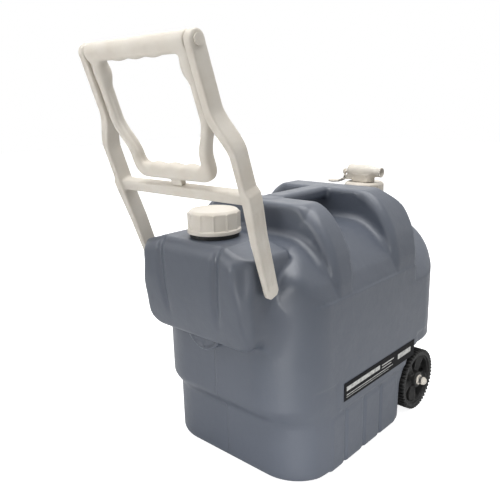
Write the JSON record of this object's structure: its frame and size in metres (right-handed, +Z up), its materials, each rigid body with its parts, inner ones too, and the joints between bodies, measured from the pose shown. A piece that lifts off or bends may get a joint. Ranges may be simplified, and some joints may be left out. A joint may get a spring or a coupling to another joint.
{
  "type": "wheeled water tank",
  "caption": "Moulded water tank on wheels with a folding pull handle, a swing-out grip frame, a screw filler cap and a press tap.",
  "frame": {"origin": "on the flat base, midway across the tank and midway along the flat part of the base", "axes": "+Z up, +Y from the filler block towards the wheels, +X towards the side with the label"},
  "size_m": [0.3352, 0.5658, 0.6235],
  "materials": {
    "tank": "matte slate grey",
    "ivory": "satin ivory",
    "black": "matte black",
    "label": "printed black film",
    "rubber": "matte",
    "steel": "brushed"
  },
  "bodies": {
    "tank": {"tank_shell": "tank", "side_label": "label", "filler_collar": "black", "tap_collar": "black", "pivot_pin_left": "ivory", "pivot_pin_right": "ivory", "axle": "steel", "wheel_spacer_left": "black", "wheel_spacer_right": "black", "wheel_washer_left": "ivory", "wheel_washer_right": "ivory", "axle_nut_left": "ivory", "axle_nut_right": "ivory"},
    "filler_ring": {"filler_seal": "rubber"},
    "filler_lid": {"filler_cap": "ivory"},
    "tap_ring": {"tap_seal": "rubber"},
    "tap": {"tap_cap": "ivory", "tap_body": "ivory", "tap_lever_pin": "steel", "plunger_spring": "steel"},
    "lever": {"tap_lever": "ivory"},
    "plunger": {"tap_plunger": "ivory", "plunger_seal": "rubber"},
    "handle": {"handle_frame": "ivory", "grip_pin_left": "ivory", "grip_pin_right": "ivory"},
    "grip": {"grip_frame": "ivory"},
    "wheel_left": {"wheel_left": "black"},
    "wheel_right": {"wheel_right": "black"}
  },
  "joints": [
    {"name": "handle_fold", "type": "hinge", "parent": "tank", "child": "handle", "pos_m": [0, -0.164, 0.3095], "axis": [1, 0, 0], "range_deg": [-60, 72]},
    {"name": "grip_swing", "type": "hinge", "parent": "handle", "child": "grip", "pos_m": [0, -0.26332, 0.61159], "axis": [-1, 0, 0], "range_deg": [0, 180]},
    {"name": "filler_cap_turn", "type": "hinge", "parent": "tank", "child": "filler_ring", "pos_m": [0, -0.148, 0.3933], "axis": [0, 0, 1], "range_deg": [0, 720]},
    {"name": "filler_cap_lift", "type": "slide", "parent": "filler_ring", "child": "filler_lid", "axis": [0, 0, 1], "range_m": [0, 0.0081]},
    {"name": "tap_cap_turn", "type": "hinge", "parent": "tank", "child": "tap_ring", "pos_m": [0, 0.246, 0.3853], "axis": [0, 0, 1], "range_deg": [0, 720]},
    {"name": "tap_cap_lift", "type": "slide", "parent": "tap_ring", "child": "tap", "axis": [0, 0, 1], "range_m": [0, 0.0081]},
    {"name": "tap_lever_press", "type": "hinge", "parent": "tap", "child": "lever", "pos_m": [-0.035, 0.246, 0.4005], "axis": [0, -1, 0], "range_deg": [0, 15], "stiffness_Nm_per_rad": 0.6, "springref_deg": -5.73},
    {"name": "plunger_slide", "type": "slide", "parent": "tap", "child": "plunger", "axis": [-1, 0, 0], "range_m": [0, 0.0024]},
    {"name": "wheel_left_spin", "type": "hinge", "parent": "tank", "child": "wheel_left", "pos_m": [-0.1405, 0.195, 0.0549], "axis": [1, 0, 0], "continuous": true},
    {"name": "wheel_right_spin", "type": "hinge", "parent": "tank", "child": "wheel_right", "pos_m": [0.1405, 0.195, 0.0549], "axis": [1, 0, 0], "continuous": true}
  ],
  "couplings": [
    {"joint": "filler_cap_lift", "follows": "filler_cap_turn", "m_per_rad": 0.00063662},
    {"joint": "tap_cap_lift", "follows": "tap_cap_turn", "m_per_rad": 0.00063662},
    {"joint": "plunger_slide", "follows": "tap_lever_press", "m_per_rad": 0.009167}
  ]
}
